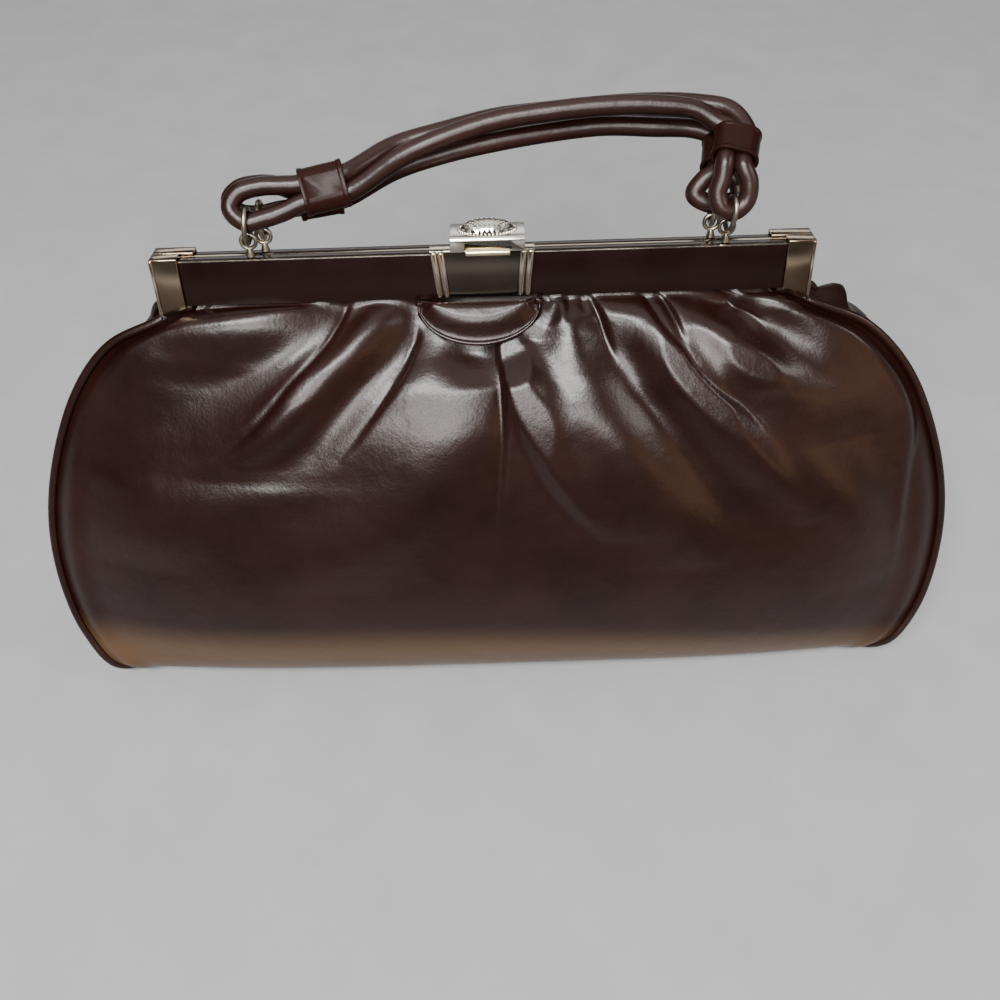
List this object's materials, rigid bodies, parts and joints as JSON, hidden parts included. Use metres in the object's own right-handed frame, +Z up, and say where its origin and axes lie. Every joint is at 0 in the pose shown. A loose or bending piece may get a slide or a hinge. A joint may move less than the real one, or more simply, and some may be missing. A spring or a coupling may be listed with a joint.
{
  "type": "frame handbag",
  "caption": "Gathered dark brown leather handbag on a hinged metal frame with a lift-up clasp, a half-moon tab and a pair of rolled leather handles",
  "frame": {"origin": "on the ground, under the middle of the bag's width and depth", "axes": "+X to the right seen from the front, +Y to the back, +Z up"},
  "size_m": [0.3346, 0.1126, 0.2],
  "materials": {
    "leather_body": "smooth dark chocolate leather with a soft gloss",
    "leather_handle": "rolled brown leather, satin",
    "frame_enamel": "glossy dark brown enamel",
    "chrome": "warm polished plating",
    "brass": "polished pale brass",
    "nickel_wire": "dull nickel wire"
  },
  "bodies": {
    "bag": {"front_panel": "leather_body", "back_panel": "leather_body", "gusset_left": "leather_body", "gusset_right": "leather_body", "piping_left": "leather_body", "piping_right": "leather_body", "clasp_tab": "leather_body", "frame_front": "frame_enamel", "handle_front": "leather_handle", "cap_front_left": "chrome", "keeper_front_left": "leather_handle", "eye_front_left": "nickel_wire", "ring_front_left": "nickel_wire", "cap_front_right": "chrome", "keeper_front_right": "leather_handle", "eye_front_right": "nickel_wire", "ring_front_right": "nickel_wire", "frame_back": "frame_enamel", "handle_back": "leather_handle", "cap_back_left": "chrome", "keeper_back_left": "leather_handle", "eye_back_left": "nickel_wire", "ring_back_left": "nickel_wire", "cap_back_right": "chrome", "keeper_back_right": "leather_handle", "eye_back_right": "nickel_wire", "ring_back_right": "nickel_wire", "hinge_pin_left": "nickel_wire", "hinge_pin_right": "nickel_wire", "clasp_plate": "chrome", "clasp_hinge": "chrome", "clasp_catch": "brass", "clasp_pin": "nickel_wire"},
    "clasp": {"clasp_lever": "chrome"}
  },
  "joints": [
    {"name": "clasp_lift", "type": "hinge", "parent": "bag", "child": "clasp", "pos_m": [0.0018, 0.01018, 0.16548], "axis": [-1, 0, 0], "range_deg": [0, 70]}
  ]
}
